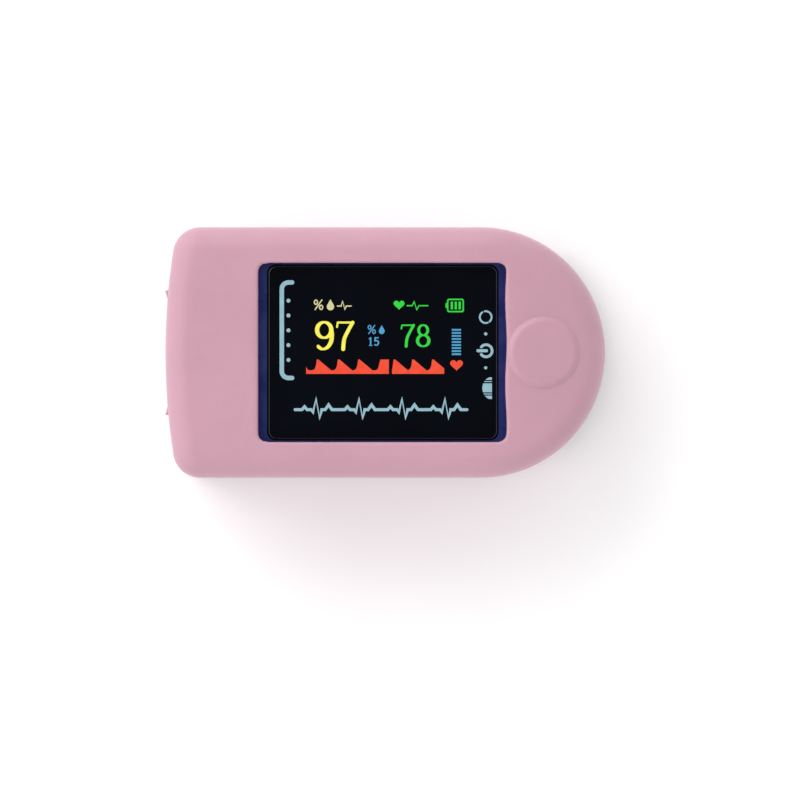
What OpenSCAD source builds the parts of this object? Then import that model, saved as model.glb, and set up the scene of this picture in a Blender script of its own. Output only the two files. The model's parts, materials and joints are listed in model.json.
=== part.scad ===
// Fingertip pulse oximeter in a two-part silicone sleeve.
// X runs from the finger end (-X) to the tail (+X), Y is across, Z is up.
// The display faces up and the battery side stands on Z = 0. Sizes are in millimetres.

/* [Body] */
// Overall length, flared lips included
total_l = 60; // [60:0.1:61]
// Overall width of the sleeve
total_w = 34; // [34:0.1:34.6]
// Overall height of the closed, sleeved body
total_h = 35; // [35:0.1:35.4]
// Radius of the gently bowed finger end
front_r = 92; // [70:1:140]
// Radius of the plan corners at the finger end
corner_r = 3.7; // [3.5:0.1:4.2]
// Rounding of the sleeve's top edge
top_round = 3; // [2.4:0.1:3]
// Rounding of the sleeve's bottom edge
base_round = 1.8; // [1.2:0.1:2]
// Radius of the arc by which the top falls towards the tail
fall_r = 50; // [48:1:60]
// Distance along X at which the top starts to fall
fall_x = 12; // [11.5:0.1:13]

/* [Sleeve] */
// Thickness of the silicone
sleeve_t = 1.25; // [1.1:0.05:1.25]
// Length of the display window in the sleeve
window_l = 33.6; // [33:0.1:34]
// Width of the display window in the sleeve
window_w = 24.3; // [24:0.1:24.6]
// How far the finger opening's lips flare past the finger end
lip_flare = 0.3; // [0.2:0.05:0.4]

/* [Jaw] */
// Hinge axis along X
hinge_x = 8; // [7.8:0.1:8.2]
// Hinge axis above the base
hinge_z = 19.8; // [19.8:0.05:19.9]
// Gap between the closed halves
jaw_gap = 0.4; // [0.4:0.05:0.6]
// Slope of each half's edge from the hinge to the tail, in degrees
tail_slope = 10.5; // [10.5:0.1:11]
// Radius of the finger trough
finger_r = 11.4; // [11.3:0.1:11.6]
// Depth of each trough below the parting edge
finger_depth = 4; // [3.8:0.1:4]

/* [Display] */
// Length of the display lens
lens_l = 31.2; // [31:0.1:31.4]
// Width of the display lens
lens_w = 23.7; // [23.5:0.1:23.8]
// Length of the lit area
screen_l = 21.7; // [21:0.1:21.7]
// Width of the lit area
screen_w = 10.85; // [10.5:0.05:10.85]

/* [Button] */
// Button centre along X
button_x = 21.6; // [21.4:0.1:21.7]
// Radius of the raised disc on the sleeve
disc_r = 4.6; // [4.4:0.05:4.65]
// Height of the raised disc above the sleeve
disc_h = 0.5; // [0.3:0.05:0.6]

/* [Batteries] */
// Radius of a AAA cell
cell_r = 5.2; // [5:0.05:5.25]
// Length of a AAA cell over its terminal
cell_l = 44.5; // [44:0.1:44.5]
// Distance of each cell's axis from the centre plane
cell_y = 5.6; // [5.4:0.05:5.6]

/* [Hidden] */
$fn = 48;

// Plan of the body
half_w = total_w / 2;
front_x = -total_l / 2 + lip_flare;
tail_cx = total_l / 2 - half_w;
front_cx = front_x + front_r;
far = 60;

// Nested shells: the housing sits inside the sleeve with a hair of clearance
fit = 0.05;
housing_inset = sleeve_t + fit;
wall_t = 1.5;
cavity_inset = housing_inset + wall_t;
housing_top = total_h - housing_inset;
housing_base = sleeve_t - 0.05;
ceiling_t = 2;

// Parting edges
low_edge = hinge_z - jaw_gap / 2;

// Finger troughs, as cylinders along X; the upper one mirrors the lower one about the hinge
trough_z = low_edge - finger_depth + finger_r;
pad_t = 1.15;
tray_t = 1.2;
tray_in_r = finger_r + pad_t + fit;
tray_out_r = tray_in_r + tray_t;
mouth_r = finger_r - 0.1;
trough_end = 4.9;
tray_front_inset = housing_inset + 0.4;
pad_front_inset = housing_inset + 0.3;

// Trays
flange_t = 2.2;
deck_top = 15.1;
deck_t = 1.2;
tray_inset = cavity_inset + 0.1;
ear_r = 2.6;
low_ear_y = 9.4;
up_ear_y = 11.6;
ear_t = 1.8;

// Hinge hardware
pin_r = 1;
pin_l = 26.6;
wire_r = 0.35;
coil_r = 2.1;
coil_pitch = 0.85;
coil_y = 8.8;
leg_angle = 25;
leg_l = 6.1;

// Sensors
sensor_x = -7;
sensor_board = [9, 7, 0.6];
sensor_board_z = 13.5;
sensor_chip = [4.4, 3.9, 0.8];
sensor_window = [6.6, 5.2];

// Screws, as [x, y] in each half; the same places serve both halves
front_screw = [-20, 12.6];
tail_screw = [23.5, 6.6];
screw_r = 0.85;
screw_hole_r = 0.9;
screw_l = 5;
head_r = 1.6;
head_h = 1;
boss_r = 1.55;

// Main board and what stands on it
board_z = 28;
board_t = 1;
board_top = board_z + board_t;
board_half_w = 10.8;
board_front = -25.2;
board_neck_x = 17.4;
board_neck_half_w = 3.2;
board_tail = 25.9;
board_screw = [-23, 8.5];
screen_x = 0.2;
screen_y = 2.4;
module_l = 28;
module_w = 13.5;
module_x = -1.45;
lens_x = -0.2;
window_x = -0.3;
lens_corner = 1.2;
lens_z = 32.65;
lens_t = 0.9;
pocket_z = 32.5;

// Button stack
cap_r = 4;
cap_bore_r = 4.15;
cap_flange_r = 4.9;
cap_flange_z = 29.75;
button_roof_z = 30.4;
plunger_r = 1.25;
plunger_top = 30.5;

// Battery bay and door
door_z = 1.3;
door_t = 1.5;
door_half_w = 11.6;
tongue_half_w = 12.3;
tongue_z = 2.05;
door_front = -26.3;
door_channel_top = 2.9;
rail_top = 3.9;
sleeve_slot_half_w = 12.7;
cell_z = 8.4;
cell_left_x = -22.9;
cell_right_x = -25.9;
plate_t = 0.3;
plate_half_w = 3.5;
plate_z = 4.4;
plate_h = 8;
tail_plate_x = cell_left_x + cell_l;
contact_wire_r = 0.3;
nub_r = 1.9;
nub_l = 0.8;

// Routes of what crosses the hinge
ribbon_route = [
    [-4, 13.35], [-1.5, 12.85], [3, 12.85], [9, 12.85], [12, 13.6], [13.2, 16.5],
    [13.4, 19.8], [13, 23], [12.8, 25.6], [13.6, 27.1], [14.8, 27.4]
];
wire_route = [
    [22.4, 4.2, 12.7], [22.5, 4.2, 14.4], [21.6, 4.1, 15.9], [18.5, 3.9, 15.9],
    [15, 3.7, 15.9], [12.6, 3.6, 17.2], [11.8, 3.5, 19.8], [12.6, 3.4, 22.4],
    [14.6, 3.6, 24.6], [16.1, 3.8, 26], [16.4, 3.9, 27], [16.4, 3.9, 27.9]
];
lead_r = 0.45;

// ---------- helpers ----------

// Points of a circular arc, end points included
function arc(centre, r, from, to, steps) =
    [for (i = [0:steps]) let (a = from + (to - from) * i / steps)
        centre + r * [cos(a), sin(a)]];

// One side of the body's plan, offset inwards by inset, from the tail's tip to the finger end
function half_outline(inset) =
    let (hw = half_w - inset, fr = front_r - inset, r = max(corner_r - inset, 0.4))
    let (cx = front_cx - sqrt((fr - r) ^ 2 - (hw - r) ^ 2), phi = asin((hw - r) / (fr - r)))
    let (front = arc([front_cx, 0], fr, 180 - phi, 180, 3))
    concat(
        arc([tail_cx, 0], hw, 0, 90, 12),
        arc([cx, hw - r], r, 90, 180 - phi, 5),
        [for (i = [1:3]) front[i]]
    );

// The whole plan, anticlockwise; point i and point count - i are mirror images
function outline(inset) =
    let (half = half_outline(inset))
    concat(half, [for (i = [len(half) - 2:-1:1]) [half[i][0], -half[i][1]]]);

// Height lost by the top at x, and the top's profile from the finger end to the tail
function fall(x) = x < fall_x ? 0 : fall_r - sqrt(fall_r ^ 2 - (x - fall_x) ^ 2);
function top_line(top) =
    [for (x = [fall_x:1.5:fall_x + 21]) [x, top - fall(x)]];

// Points of a smooth curve through a route, with a few steps to each stretch
function spline_point(p0, p1, p2, p3, t) =
    0.5 * (2 * p1 + (p2 - p0) * t + (2 * p0 - 5 * p1 + 4 * p2 - p3) * t ^ 2
        + (3 * p1 - p0 - 3 * p2 + p3) * t ^ 3);
function smooth(route, steps) =
    let (last = len(route) - 1)
    concat(
        [for (i = [0:last - 1], k = [0:steps - 1])
            spline_point(route[max(i - 1, 0)], route[i], route[i + 1], route[min(i + 2, last)], k / steps)],
        [route[last]]
    );

function unit(v) = v / norm(v);
function travel(path, i) =
    unit(path[min(i + 1, len(path) - 1)] - path[max(i - 1, 0)]);

// A round wire swept along a path of 3D points
module wire(path, r, sides = 8) {
    count = len(path);
    side_guess = [0, 1, 0];
    rings = [for (i = [0:count - 1])
        let (t = travel(path, i))
        let (guess = abs(t * side_guess) > 0.9 ? [1, 0, 0] : side_guess)
        let (u = unit(cross(guess, t)), v = cross(t, u))
        for (k = [0:sides - 1])
            path[i] + r * (cos(360 * k / sides) * u + sin(360 * k / sides) * v)];
    walls = [for (i = [0:count - 2], k = [0:sides - 1])
        let (a = i * sides + k, b = i * sides + (k + 1) % sides)
        [a, b, b + sides, a + sides]];
    halves = [for (w = walls) each [[w[0], w[2], w[1]], [w[0], w[3], w[2]]]];
    caps = [
        [for (k = [0:sides - 1]) k],
        [for (k = [sides - 1:-1:0]) (count - 1) * sides + k]
    ];
    polyhedron(rings, concat(halves, caps));
}

// A flat strip of thickness t, width w across Y, along a path of [x, z] points
module strip(path, t, w) {
    last = len(path) - 1;
    sides = [for (i = [0:last]) let (d = travel(path, i)) [-d[1], d[0]] * t / 2];
    across(w) polygon(concat(
        [for (i = [0:last]) path[i] + sides[i]],
        [for (i = [last:-1:0]) path[i] - sides[i]]
    ));
}

// Extrudes an [x, z] shape to width w, centred on Y = 0
module across(w) rotate([90, 0, 0]) linear_extrude(w, center = true) children();

// Extrudes a [y, z] shape along X
module along(from, to)
    translate([from, 0, 0]) rotate([90, 0, 90]) linear_extrude(to - from) children();

module block(from, to) translate(from) cube(to - from);

module both_sides() {
    children();
    mirror([0, 1, 0]) children();
}

// Turns a lower-half shape into its upper-half mirror image about the hinge
module upper_half() translate([0, 0, 2 * hinge_z]) mirror([0, 0, 1]) children();

module rounded_plate(l, w, r, t) {
    linear_extrude(t) polygon(concat(
        arc([l / 2 - r, w / 2 - r], r, 0, 90, 6), arc([r - l / 2, w / 2 - r], r, 90, 180, 6),
        arc([r - l / 2, r - w / 2], r, 180, 270, 6), arc([l / 2 - r, r - w / 2], r, 270, 360, 6)
    ));
}

// Space above the lower half's edge; its mirror image is the space below the upper half's
module above_edge() {
    run = 30;
    across(far) polygon([
        [-far, low_edge], [hinge_x, low_edge],
        [hinge_x + run, low_edge - run * tan(tail_slope)], [hinge_x + run, far], [-far, far]
    ]);
}

// A closed skin through a stack of rings that share the outline's order of points, from bottom to top
module skin(rings) {
    count = len(rings[0]);
    top = count * (len(rings) - 1);
    sides = [for (j = [0:len(rings) - 2], i = [0:count - 1])
        let (a = j * count + i, b = j * count + (i + 1) % count)
        each [[a, a + count, b + count], [a, b + count, b]]];
    across = [for (i = [0:count / 2 - 1])
        let (i2 = count - i - 1, i3 = (count - i) % count)
        each [[i, i + 1, i2], [i, i2, i3]]];
    cap = [for (t = across) if (t[0] != t[1] && t[1] != t[2] && t[0] != t[2]) t];
    polyhedron(
        [for (ring = rings) each ring],
        concat(sides, cap, [for (t = cap) [t[2] + top, t[1] + top, t[0] + top]])
    );
}

function ring(inset, z) = [for (p = outline(inset)) [p[0], p[1], z]];
function fallen_ring(inset, z) = [for (p = outline(inset)) [p[0], p[1], z - fall(p[0])]];

// Solid envelope of the lower half, rounded at its base
module lower_body(inset, base, round)
    skin(concat(
        [for (a = [90:-30:0]) ring(inset + round * (1 - cos(a)), base + round * (1 - sin(a)))],
        [ring(inset, hinge_z + 5)]
    ));

// Solid envelope of the upper half, rounded at its top and falling to the tail
module upper_body(inset, top, round)
    skin(concat(
        [ring(inset, hinge_z - 5)],
        [for (a = [0:30:90]) fallen_ring(inset + round * (1 - cos(a)), top - round * (1 - sin(a)))]
    ));

module trough(r, from, to) along(from, to) translate([0, trough_z]) circle(r, $fn = 96);

// ---------- lower half ----------

module finger_lips() {
    lip_y = 8.5;
    root_y = 6.8;
    both_sides() translate([0, 0, low_edge - 1.7]) linear_extrude(1.7) polygon([
        [front_x - lip_flare, lip_y], [front_x + 0.7, lip_y],
        [front_x + 0.7, root_y], [front_x + 0.27, root_y]
    ]);
}

module lower_sleeve() color("#d9a3b4") {
    difference() {
        union() {
            lower_body(0, 0, base_round);
            finger_lips();
        }
        translate([0, 0, sleeve_t - 0.1]) linear_extrude(far) polygon(outline(sleeve_t));
        above_edge();
        trough(mouth_r, front_x - 2, front_x + 4);
        block([door_front + 0.7, -sleeve_slot_half_w, -1], [far, sleeve_slot_half_w, 1.3]);
        block([20, -sleeve_slot_half_w, -1], [far, sleeve_slot_half_w, door_channel_top + 0.1]);
    }
}

module screw_boss(at, base, top) translate([at[0], at[1], base]) cylinder(top - base, r = boss_r);

module lower_housing() color("#2f3f86") {
    screw_floor = low_edge - flange_t;
    difference() {
        union() {
            difference() {
                lower_body(housing_inset, housing_base, 0.6);
                translate([0, 0, rail_top]) linear_extrude(far) polygon(outline(cavity_inset));
            }
            both_sides() {
                screw_boss(front_screw, rail_top - 0.5, screw_floor - fit);
                screw_boss(tail_screw, rail_top - 0.5, deck_top - deck_t - fit);
                block([front_screw[0] - 0.6, front_screw[1], rail_top - 0.5],
                    [front_screw[0] + 0.6, half_w - cavity_inset + 0.3, screw_floor - fit]);
            }
            block([tail_plate_x + plate_t + 0.1, -10.4, rail_top - 0.5],
                [tail_plate_x + plate_t + 1.3, 10.4, deck_top - deck_t - fit]);
        }
        above_edge();
        trough(tray_out_r + 0.1, front_x, front_x + 4);
        block([door_front - 0.1, -11.3, 0], [tail_plate_x + plate_t + 0.1, 11.3, rail_top + 1]);
        block([door_front - 0.1, -door_half_w - 0.1, 0], [far, door_half_w + 0.1, door_channel_top]);
        block([door_front - 0.1, -tongue_half_w - 0.2, tongue_z - 0.1],
            [far, tongue_half_w + 0.2, door_channel_top]);
        both_sides() {
            for (at = [front_screw, tail_screw])
                translate([at[0], at[1], 7]) cylinder(far, r = screw_hole_r);
            // notch in the partition, where the battery wire leaves its contact
            block([tail_plate_x + plate_t - 0.2, 3.5, 12.1], [tail_plate_x + plate_t + 1.5, 4.9, far]);
        }
    }
}

// The finger-side shell of one half, drawn as the lower one, with its hinge ears from ear_y out
module tray(ear_y, ear_bore_r) {
    flange_z = low_edge - flange_t;
    deck_z = deck_top - deck_t;
    difference() {
        union() {
            // trough
            intersection() {
                trough(tray_out_r, front_x, trough_end);
                linear_extrude(low_edge) polygon(outline(tray_front_inset));
            }
            // rim flanges and tail deck, inside the housing wall
            intersection() {
                linear_extrude(far) polygon(outline(tray_inset));
                union() {
                    both_sides() block([-far, 9, flange_z], [trough_end, half_w, low_edge]);
                    block([trough_end - 1, -half_w, deck_z], [far, half_w, deck_top]);
                    block([trough_end - tray_t, -10.6, deck_z], [trough_end, 10.6, low_edge]);
                }
            }
            // hinge ears, with gussets down to the deck
            both_sides() translate([0, ear_y + ear_t / 2, 0]) across(ear_t) {
                translate([hinge_x, hinge_z]) circle(ear_r);
                polygon([[hinge_x - ear_r, hinge_z], [hinge_x - ear_r, deck_top - 0.2],
                    [hinge_x + ear_r + 1, deck_top - 0.2], [hinge_x + ear_r, hinge_z]]);
            }
        }
        trough(tray_in_r, front_x, trough_end - tray_t);
        translate([hinge_x, 0, hinge_z]) rotate([90, 0, 0])
            cylinder(far, r = ear_bore_r, center = true);
        // sensor pocket
        translate([sensor_x, 0, deck_z]) cube([sensor_board[0] + 0.2, sensor_board[1] + 0.2, 8], center = true);
        both_sides() {
            translate([front_screw[0], front_screw[1], flange_z - 1]) cylinder(far, r = screw_hole_r);
            translate([front_screw[0], front_screw[1], low_edge - head_h - 0.2]) cylinder(far, r = head_r + 0.15);
            translate([tail_screw[0], tail_screw[1], deck_z - 1]) cylinder(far, r = screw_hole_r);
        }
    }
}

module lower_tray() color("#c9ccd2") {
    difference() {
        tray(low_ear_y, pin_r + 0.02);
        block([11.2, -2.6, deck_top - 2], [14.6, 2.6, deck_top + 1]);
        both_sides() block([21, 3.4, deck_top - 2], [23.3, 5, deck_top + 1]);
    }
}

// Silicone lining of one trough, drawn as the lower one
module finger_pad() {
    difference() {
        intersection() {
            trough(finger_r + pad_t, front_x, trough_end - tray_t - 0.1);
            linear_extrude(low_edge) polygon(outline(pad_front_inset));
        }
        trough(finger_r, front_x, trough_end - tray_t - 1.2);
        translate([sensor_x, 0, trough_z - finger_r])
            cube([sensor_window[0] + 0.1, sensor_window[1] + 0.1, 6], center = true);
    }
}

module lower_finger_pad() color("#3c3f45") finger_pad();

// One sensor: its board, chip and clear window, drawn in the lower trough
module sensor_pcb()
    translate([sensor_x, 0, sensor_board_z + sensor_board[2] / 2]) cube(sensor_board, center = true);

module sensor_die()
    translate([sensor_x, 0, sensor_board_z + sensor_board[2] + sensor_chip[2] / 2]) cube(sensor_chip, center = true);

module sensor_lens() {
    base = sensor_board_z + sensor_board[2] + sensor_chip[2];
    translate([sensor_x, 0, base]) linear_extrude(trough_z - finger_r + 0.05 - base)
        square(sensor_window, center = true);
}

module photodiode_board() color("#1f6b3a") sensor_pcb();
module photodiode() color("#20242c") sensor_die();
module photodiode_window() color("#8e2b2b") sensor_lens();

// A cell lying along X from x_from, with its terminal at the +X end
module cell(x_from) {
    translate([x_from, 0, cell_z]) rotate([0, 90, 0]) {
        cylinder(cell_l - nub_l, r = cell_r);
        cylinder(cell_l, r = nub_r);
    }
}

module battery_cell_left() color("#8a8f96") translate([0, cell_y, 0]) cell(cell_left_x);

module battery_cell_right() color("#8a8f96")
    translate([2 * cell_right_x + cell_l, -cell_y, 0]) mirror([1, 0, 0]) cell(cell_right_x);

// A conical contact spring that stands on x = 0 and reaches along +X
module contact_spring(reach) {
    turns = 3.25;
    wide = 3.1;
    narrow = 1.9;
    steps = 52;
    rise = reach - 2 * contact_wire_r;
    wire([for (i = [0:steps]) let (s = i / steps, a = 360 * turns * s, r = wide + (narrow - wide) * s)
        [contact_wire_r + rise * s, r * cos(a), r * sin(a)]], contact_wire_r);
}

module contact_plate(x, y, tab)
    block([x, y - plate_half_w, plate_z], [x + plate_t, y + plate_half_w, plate_z + plate_h + tab]);

module battery_bridge_contact() color("#c9cbd0") {
    x = cell_right_x - plate_t;
    block([x, -cell_y - plate_half_w, plate_z], [x + plate_t, cell_y + plate_half_w, plate_z + plate_h]);
    translate([x + plate_t + 0.02, cell_y, cell_z]) contact_spring(cell_left_x - cell_right_x - 0.06);
}

module battery_positive_contact() color("#c9cbd0") contact_plate(tail_plate_x, cell_y, 0.9);

module battery_negative_contact() color("#c9cbd0") {
    contact_plate(tail_plate_x, -cell_y, 0.9);
    reach = tail_plate_x - cell_right_x - cell_l;
    translate([tail_plate_x - 0.02, -cell_y, cell_z]) mirror([1, 0, 0]) contact_spring(reach - 0.06);
}

module hinge_pin() color("#b9bdc4")
    translate([hinge_x, 0, hinge_z]) rotate([90, 0, 0]) cylinder(pin_l, r = pin_r, center = true);

// A torsion spring: upper leg, coil about the hinge axis, lower leg
module torsion_spring() {
    from = 90 + leg_angle;
    sweep = 3 * 360 + 360 - 2 * from;
    steps = 52;
    width = coil_pitch * sweep / 360;
    inner_y = coil_y - width;
    up = [cos(leg_angle), 0, sin(leg_angle)];
    down = [cos(leg_angle), 0, -sin(leg_angle)];
    centre = [hinge_x, 0, hinge_z];
    coil = [for (i = [0:steps]) let (s = i / steps, a = from + sweep * s)
        centre + [coil_r * cos(a), inner_y + width * s, coil_r * sin(a)]];
    wire(concat([coil[0] + leg_l * up], coil, [coil[steps] + leg_l * down]), wire_r);
}

module torsion_spring_left() color("#8d9299") torsion_spring();
module torsion_spring_right() color("#8d9299") mirror([0, 1, 0]) torsion_spring();

// A self-tapping screw, head up, with the head's seat at z = 0
module screw(l = screw_l) {
    cylinder(head_h, r = head_r);
    translate([0, 0, -l]) cylinder(l, r = screw_r);
}

module case_screws() both_sides() {
    translate([front_screw[0], front_screw[1], low_edge - head_h - 0.2]) screw();
    translate([tail_screw[0], tail_screw[1], deck_top]) screw();
}

module lower_case_screws() color("#7f848b") case_screws();

module sensor_ribbon() color("#b5702a") strip(smooth(ribbon_route, 3), 0.2, 4);
module battery_wire_red() color("#b3202a") wire(smooth(wire_route, 3), lead_r);
module battery_wire_black() color("#1c1c1e")
    wire([for (p = smooth(wire_route, 3)) [p[0], -p[1], p[2]]], lead_r);

// ---------- battery door ----------

module battery_door() color("#2f3f86") {
    ridge_count = 6;
    difference() {
        union() {
            translate([0, 0, door_z]) linear_extrude(door_t) intersection() {
                polygon(outline(housing_inset + fit));
                translate([door_front, -door_half_w]) square([far, 2 * door_half_w]);
            }
            translate([0, 0, tongue_z]) linear_extrude(door_z + door_t - tongue_z) intersection() {
                polygon(outline(housing_inset + fit));
                translate([door_front, -tongue_half_w]) square([far, 2 * tongue_half_w]);
            }
            for (i = [0:ridge_count - 1])
                translate([15 + 1.8 * i, 0, door_z - 0.15]) cube([0.8, 12, 0.5], center = true);
        }
        // arrow that shows which way the door slides
        translate([0, 0, door_z - 1]) linear_extrude(1.3)
            polygon([[11.5, 0], [8, 3.4], [8, 1.3], [3.5, 1.3], [3.5, -1.3], [8, -1.3], [8, -3.4]]);
    }
}

// ---------- upper half ----------

module button_column(r, from, to) translate([button_x, 0, from]) cylinder(to - from, r = r);

// Space under the top surface whose highest level is top
module under_top(top) across(far) polygon(concat(
    [[-far, 0], [-far, top]], top_line(top), [[fall_x + 21, 0]]
));

module upper_sleeve() color("#d9a3b4") {
    difference() {
        union() {
            upper_body(0, total_h, top_round);
            upper_half() finger_lips();
        }
        upper_body(sleeve_t, total_h - sleeve_t, top_round - sleeve_t);
        upper_half() {
            above_edge();
            trough(mouth_r, front_x - 2, front_x + 4);
        }
        translate([window_x, 0, 30]) rounded_plate(window_l, window_w, lens_corner, 10);
        button_column(disc_r + 0.15, 28, 40);
    }
}

module upper_housing() color("#2f3f86") {
    screw_floor = 2 * hinge_z - low_edge + flange_t + fit;
    deck_ceiling = 2 * hinge_z - deck_top + deck_t + fit;
    difference() {
        union() {
            difference() {
                upper_body(housing_inset, housing_top, top_round - housing_inset);
                upper_body(cavity_inset, housing_top - ceiling_t, 0.2);
            }
            intersection() {
                upper_body(housing_inset, housing_top, top_round - housing_inset);
                union() {
                    both_sides() {
                        screw_boss(front_screw, screw_floor, 33);
                        screw_boss(tail_screw, deck_ceiling, 33);
                        screw_boss(board_screw, board_top, 33);
                        block([front_screw[0] - 0.6, front_screw[1], screw_floor],
                            [front_screw[0] + 0.6, half_w - cavity_inset + 0.3, 32]);
                    }
                }
            }
        }
        upper_half() {
            above_edge();
            trough(tray_out_r + 0.1, front_x, front_x + 4);
        }
        translate([lens_x, 0, pocket_z]) rounded_plate(lens_l + 0.2, lens_w + 0.2, lens_corner, 10);
        translate([screen_x, screen_y, 30]) rounded_plate(screen_l + 1.3, screen_w + 1.3, 0.5, 10);
        button_column(cap_bore_r, 28, 40);
        button_column(cap_flange_r + 0.4, 28, button_roof_z);
        both_sides() {
            for (at = [front_screw, tail_screw])
                translate([at[0], at[1], 20]) cylinder(9.7, r = screw_hole_r);
            translate([board_screw[0], board_screw[1], 25]) cylinder(6.6, r = screw_hole_r);
        }
    }
}

module upper_tray() color("#c9ccd2") {
    difference() {
        upper_half() tray(up_ear_y, pin_r + 0.06);
        block([11.2, -4.6, 23], [17.9, 4.6, 28]);
    }
}

module upper_finger_pad() color("#3c3f45") upper_half() finger_pad();
module led_board() color("#1f6b3a") upper_half() sensor_pcb();
module led_emitter() color("#e8e4d8") upper_half() sensor_die();
module led_window() color("#8e2b2b") upper_half() sensor_lens();
module upper_case_screws() color("#7f848b") upper_half() case_screws();

module display_lens() color("#07090d")
    translate([lens_x, 0, lens_z]) rounded_plate(lens_l, lens_w, lens_corner, lens_t);

module lens_adhesive() color("#d8d8d2") translate([lens_x, 0, pocket_z]) difference() {
    rounded_plate(lens_l - 0.6, lens_w - 0.6, 0.8, lens_z - pocket_z);
    translate([screen_x - lens_x, screen_y, -1]) rounded_plate(screen_l + 2.3, screen_w + 2.3, 0.5, 5);
}

module display_glass() color("#10131a")
    block([module_x - module_l / 2 + 2.2, screen_y - module_w / 2, 31.05],
        [module_x + module_l / 2, screen_y + module_w / 2, 31.6]);

module display_backlight() color("#e6e8ea")
    block([module_x - module_l / 2, screen_y - module_w / 2, 30.1],
        [module_x + module_l / 2, screen_y + module_w / 2, 31.05]);

module display_bracket() color("#eceff0") {
    rim = 0.8;
    translate([module_x, screen_y, board_top]) difference() {
        rounded_plate(module_l + 2 * rim, module_w + 2 * rim, 1, 2);
        translate([0, 0, 1.1]) rounded_plate(module_l + 0.2, module_w + 0.2, 0.3, 4);
        translate([0, 0, -1]) rounded_plate(module_l - 6, module_w - 4, 1, 4);
        block([-module_l, -4.3, 1.5], [-module_l / 2 + 1, 4.3, 4]);
    }
}

module display_ribbon() color("#b5702a") {
    from = module_x - module_l / 2;
    translate([0, screen_y, 0]) strip(smooth([
        [from - 0.05, 30.8], [from - 1, 30.8], [from - 1.9, 30.55], [from - 2.1, 29.9],
        [from - 2.5, 29.25], [from - 3.4, 29.12], [from - 5.5, 29.12]
    ], 3), 0.15, 8);
}

module main_board() color("#1f6b3a") {
    difference() {
        translate([0, 0, board_z]) linear_extrude(board_t) union() {
            translate([board_front, -board_half_w])
                square([board_neck_x - board_front, 2 * board_half_w]);
            translate([board_neck_x - 1, -board_neck_half_w])
                square([board_tail - board_neck_x + 1, 2 * board_neck_half_w]);
        }
        both_sides() translate([board_screw[0], board_screw[1], board_z - 1]) cylinder(3, r = 1);
    }
}

module board_screws() color("#7f848b") both_sides()
    translate([board_screw[0], board_screw[1], board_z]) mirror([0, 0, 1]) screw(3.2);

module tact_switch() color("#2a2c31") difference() {
    translate([button_x, 0, board_top + 0.55]) cube([4, 4, 1.1], center = true);
    button_column(plunger_r + 0.1, board_top + 0.3, 40);
}

// A chip hanging under the board at [x, y]
module chip(at, size)
    translate([at[0], at[1], board_z - size[2] / 2]) cube(size, center = true);

module processor_chip() color("#1c1d20") chip([6, 4.6], [7, 7, 0.9]);
module amplifier_chip() color("#1c1d20") chip([-4, -6], [4, 4, 0.8]);
module crystal() color("#c6c9ce") chip([4, -6], [3.2, 2.5, 0.8]);
module power_inductor() color("#3a3c40") chip([-16, 6.5], [4, 4, 1.6]);

module chip_capacitors() color("#b99a6a") {
    for (i = [0:3]) chip([-11 + 2.2 * i, 7.5], [1.6, 0.8, 0.8]);
    for (i = [0:3]) chip([-14 + 2.2 * i, -8.6], [1.6, 0.8, 0.8]);
    for (i = [0:2]) chip([9 + 2.2 * i, -4], [1.6, 0.8, 0.8]);
}

module ribbon_connector() color("#e9e6dc") difference() {
    chip([16, 0], [2.6, 5.6, 1.2]);
    block([14, -2.2, 27.2], [15.4, 2.2, 27.6]);
}

// ---------- button ----------

module button_cap() color("#eceff0") {
    roof_z = 31.2;
    difference() {
        union() {
            intersection() {
                button_column(cap_r, cap_flange_z, 40);
                under_top(housing_top);
            }
            button_column(cap_flange_r, cap_flange_z, button_roof_z - 0.1);
        }
        button_column(3.2, 20, roof_z);
    }
    button_column(1.1, plunger_top + 0.02, roof_z + 0.2);
}

module sleeve_button_pad() color("#d9a3b4") {
    intersection() {
        union() {
            difference() {
                button_column(disc_r, 25, 40);
                under_top(housing_top + 0.5);
            }
            button_column(cap_r - 0.15, 25, 40);
        }
        difference() {
            under_top(total_h + disc_h);
            under_top(housing_top + 0.05);
        }
    }
}

module switch_plunger() color("#e9e6dc")
    button_column(plunger_r, board_top + 0.75, plunger_top);

lower_sleeve();
lower_housing();
lower_tray();
lower_finger_pad();
photodiode_board();
photodiode();
photodiode_window();
battery_cell_left();
battery_cell_right();
battery_bridge_contact();
battery_positive_contact();
battery_negative_contact();
hinge_pin();
torsion_spring_left();
torsion_spring_right();
lower_case_screws();
sensor_ribbon();
battery_wire_red();
battery_wire_black();
battery_door();
upper_sleeve();
upper_housing();
upper_tray();
upper_finger_pad();
led_board();
led_emitter();
led_window();
upper_case_screws();
display_lens();
lens_adhesive();
display_glass();
display_backlight();
display_bracket();
display_ribbon();
main_board();
board_screws();
tact_switch();
processor_chip();
amplifier_chip();
crystal();
power_inductor();
chip_capacitors();
ribbon_connector();
button_cap();
sleeve_button_pad();
switch_plunger();
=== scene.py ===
"""Looks of the fingertip pulse oximeter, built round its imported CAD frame.

X runs from the finger end (-X) to the tail (+X), Y across, Z up. Lengths here are millimetres until
mesh_piece() turns them into Blender's metres.
"""
import functools
import json
import math

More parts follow.
